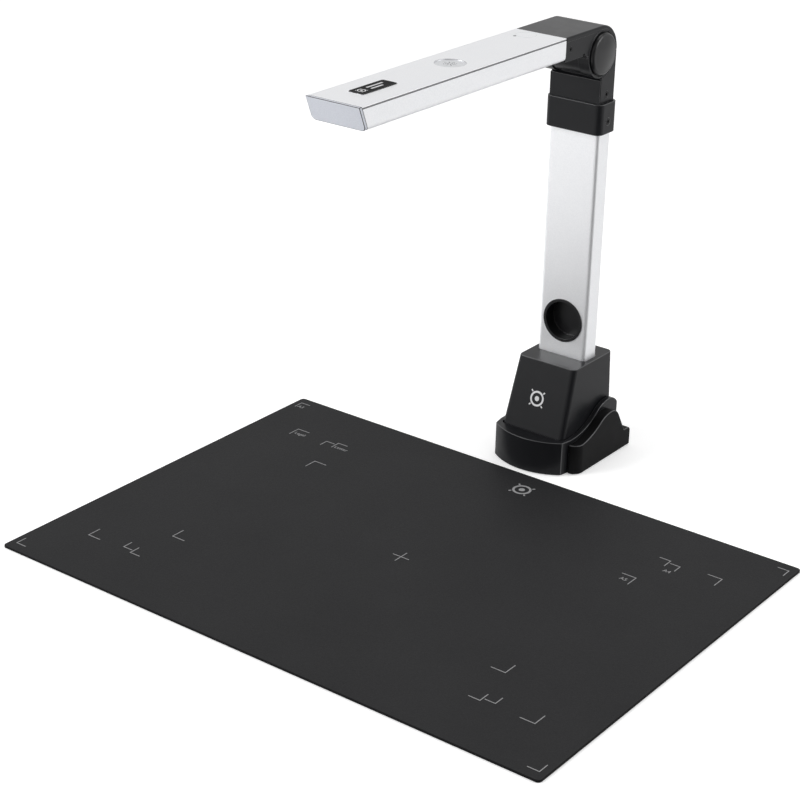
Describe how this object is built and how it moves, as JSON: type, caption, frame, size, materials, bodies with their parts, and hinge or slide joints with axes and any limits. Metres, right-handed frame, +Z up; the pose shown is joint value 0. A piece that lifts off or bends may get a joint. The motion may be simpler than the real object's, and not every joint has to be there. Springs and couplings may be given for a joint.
{
  "type": "document camera",
  "caption": "Document camera: folding aluminium camera arm on an upright column with a weighted black base, and a flat desk mat with printed sheet corners.",
  "frame": {"origin": "on the desk, under the middle of the column", "axes": "+Z up, the camera arm reaches towards -Y, +X is to the right seen from the front of the mat looking at the stand"},
  "size_m": [0.422, 0.3998, 0.3163],
  "materials": {
    "black_plastic": "finely textured black moulding",
    "gloss_black": "smooth black moulding with a soft gloss",
    "satin_aluminium": "bead-blasted and clear anodised, satin",
    "cast_aluminium": "die-cast, as cast",
    "steel": "plated steel",
    "black_steel": "blackened steel",
    "cast_weight": "rough casting, painted",
    "black_rubber": "matte soft rubber",
    "bronze": "polished bearing metal",
    "circuit_board": "green solder mask",
    "milky_window": "milky translucent moulding",
    "lamp_chip": "yellow phosphor chip",
    "lens_glass": "coated optical glass",
    "sensor_chip": "dark chip and plug",
    "mic_metal": "pressed sheet, satin",
    "ribbon": "amber flat cable",
    "mat_rubber": "charcoal mat with a fine leathery grain and thin light print"
  },
  "bodies": {
    "stand": {"base_shell": "black_plastic", "side_pod_left": "black_plastic", "side_pod_right": "black_plastic", "tower_shell": "black_plastic", "bottom_plate": "black_plastic", "rubber_feet": "black_rubber", "ballast_weight": "cast_weight", "base_screws": "steel", "column_foot": "cast_aluminium", "foot_screws": "steel", "column_screws": "steel", "interface_board": "circuit_board", "board_screws": "steel", "cable_port": "steel", "column_tube": "satin_aluminium", "column_cup": "gloss_black", "camera_cable": "black_rubber", "column_collar": "black_plastic", "collar_screws": "black_steel", "hinge_core": "cast_aluminium", "hinge_block": "black_plastic", "block_screws": "black_steel", "friction_washers": "bronze"},
    "head": {"knuckle_hood": "black_plastic", "knuckle_screws": "black_steel", "hinge_axle": "steel", "spring_washers": "steel", "axle_nut": "steel", "hinge_cap_left": "gloss_black", "hinge_cap_right": "gloss_black", "head_body": "satin_aluminium", "head_end_cap": "satin_aluminium", "head_tongue": "cast_aluminium", "tongue_screws": "steel", "lens_panel": "gloss_black", "lamp_windows": "milky_window", "lamp_boards": "circuit_board", "lamp_diodes": "lamp_chip", "lens_barrel": "gloss_black", "lens_glass": "lens_glass", "image_sensor": "sensor_chip", "sensor_board": "circuit_board", "mic_grille": "mic_metal", "microphone": "sensor_chip", "head_ribbon_cable": "ribbon", "ribbon_plug": "sensor_chip", "status_light": "gloss_black", "name_badge": "gloss_black"},
    "mat": {"desk_mat": "mat_rubber"}
  },
  "joints": [
    {"name": "head_fold", "type": "hinge", "parent": "stand", "child": "head", "pos_m": [0, -0.01, 0.297], "axis": [1, 0, 0], "range_deg": [0, 85]},
    {"name": "mat_slide", "type": "slide", "parent": "stand", "child": "mat", "axis": [0, -1, 0], "range_m": [0, 0.25]}
  ]
}
